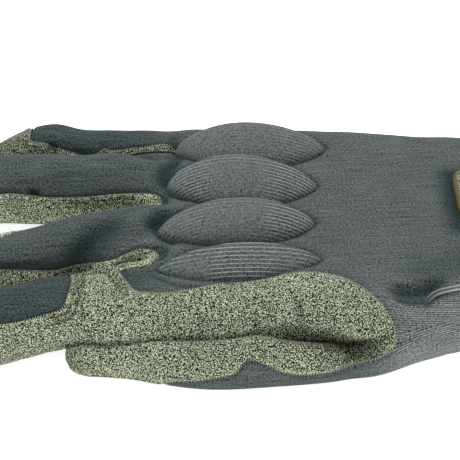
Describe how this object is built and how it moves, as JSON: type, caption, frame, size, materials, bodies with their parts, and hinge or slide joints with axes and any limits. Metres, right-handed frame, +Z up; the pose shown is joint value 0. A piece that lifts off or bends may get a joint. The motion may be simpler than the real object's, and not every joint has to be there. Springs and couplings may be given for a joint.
{
  "type": "tactical glove",
  "caption": "Right-hand slip-on work glove lying palm down, ribbed knit back with domed knuckle pads, heathered thumb saddle and finger sides.",
  "frame": {"origin": "on the surface it lies on, under the middle of its box", "axes": "+X towards the wrist opening (fingers to -X), +Y towards the little finger (thumb to -Y), +Z up out of the back of the hand"},
  "size_m": [0.232, 0.1146, 0.0317],
  "materials": {
    "ribbed_knit": "dark slate-grey stretch knit with fine lengthwise ribs, matt",
    "padded_knit": "the same knit moulded over foam, with brighter ribs",
    "heathered_cloth": "sage cloth with light and dark speckles, matt",
    "piping": "rolled light grey binding"
  },
  "bodies": {
    "root": {"back_panel": "ribbed_knit", "index_back": "ribbed_knit", "palm_panel": "ribbed_knit", "thumb_panel": "ribbed_knit", "wrist_cuff": "ribbed_knit", "knuckle_pad_little": "padded_knit", "knuckle_pad_ring": "padded_knit", "knuckle_pad_middle": "padded_knit", "knuckle_pad_index": "padded_knit", "fourchette_little_ring": "heathered_cloth", "fourchette_ring_middle": "heathered_cloth", "fourchette_middle_index": "heathered_cloth", "thumb_saddle": "heathered_cloth", "wrist_tab": "heathered_cloth", "cuff_binding": "piping"}
  },
  "joints": []
}
